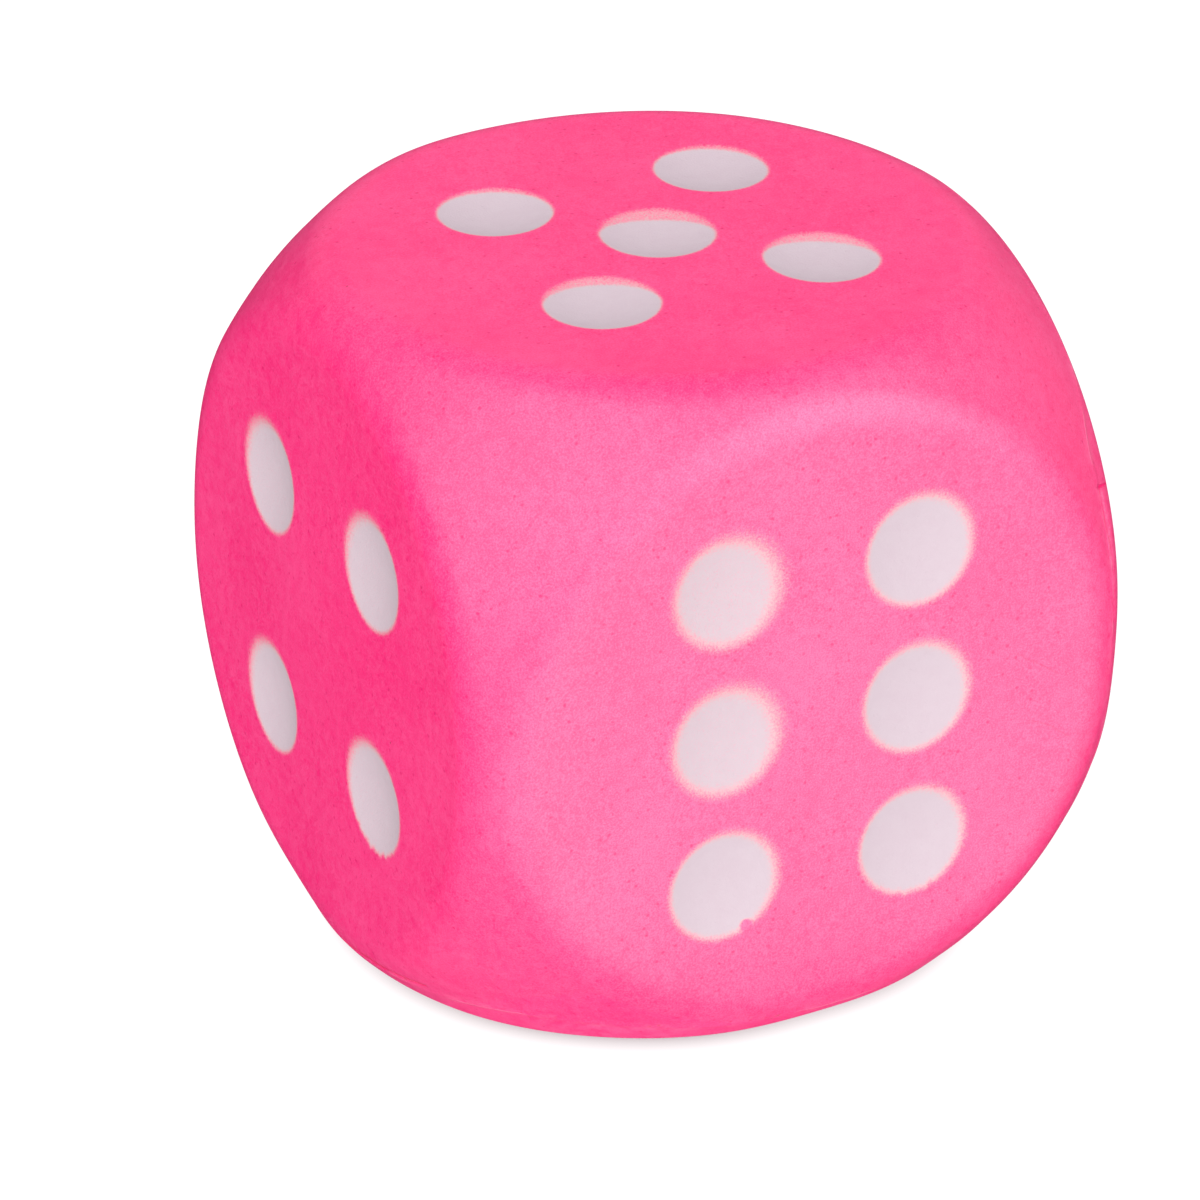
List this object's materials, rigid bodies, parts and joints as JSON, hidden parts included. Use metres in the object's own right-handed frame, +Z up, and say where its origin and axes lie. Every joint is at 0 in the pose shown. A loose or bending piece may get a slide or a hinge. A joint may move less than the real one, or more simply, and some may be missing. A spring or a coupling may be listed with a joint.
{
  "type": "foam play die",
  "caption": "Soft moulded foam play die with domed corners, flat round faces and shallow painted pip dishes, for rolling or tossing in family games.",
  "frame": {"origin": "centre of the flat face that the die rests on, the face with two pips", "axes": "+Z up to the face with five pips, -Y out of the face with six, -X out of the face with four; +X three, +Y one"},
  "size_m": [0.075, 0.075, 0.075],
  "materials": {
    "foam": "matte self-skinned polyurethane foam, fine open grain",
    "pip_paint": "matte sprayed flexible white paint with a soft overspray edge"
  },
  "bodies": {
    "root": {"foam_body": "foam", "pip_five_centre": "pip_paint", "pip_five_lower_left": "pip_paint", "pip_five_lower_right": "pip_paint", "pip_five_upper_left": "pip_paint", "pip_five_upper_right": "pip_paint", "pip_four_lower_left": "pip_paint", "pip_four_lower_right": "pip_paint", "pip_four_upper_left": "pip_paint", "pip_four_upper_right": "pip_paint", "pip_one_centre": "pip_paint", "pip_six_lower_left": "pip_paint", "pip_six_lower_right": "pip_paint", "pip_six_middle_left": "pip_paint", "pip_six_middle_right": "pip_paint", "pip_six_upper_left": "pip_paint", "pip_six_upper_right": "pip_paint", "pip_three_centre": "pip_paint", "pip_three_lower_right": "pip_paint", "pip_three_upper_left": "pip_paint", "pip_two_lower_right": "pip_paint", "pip_two_upper_left": "pip_paint"}
  },
  "joints": []
}
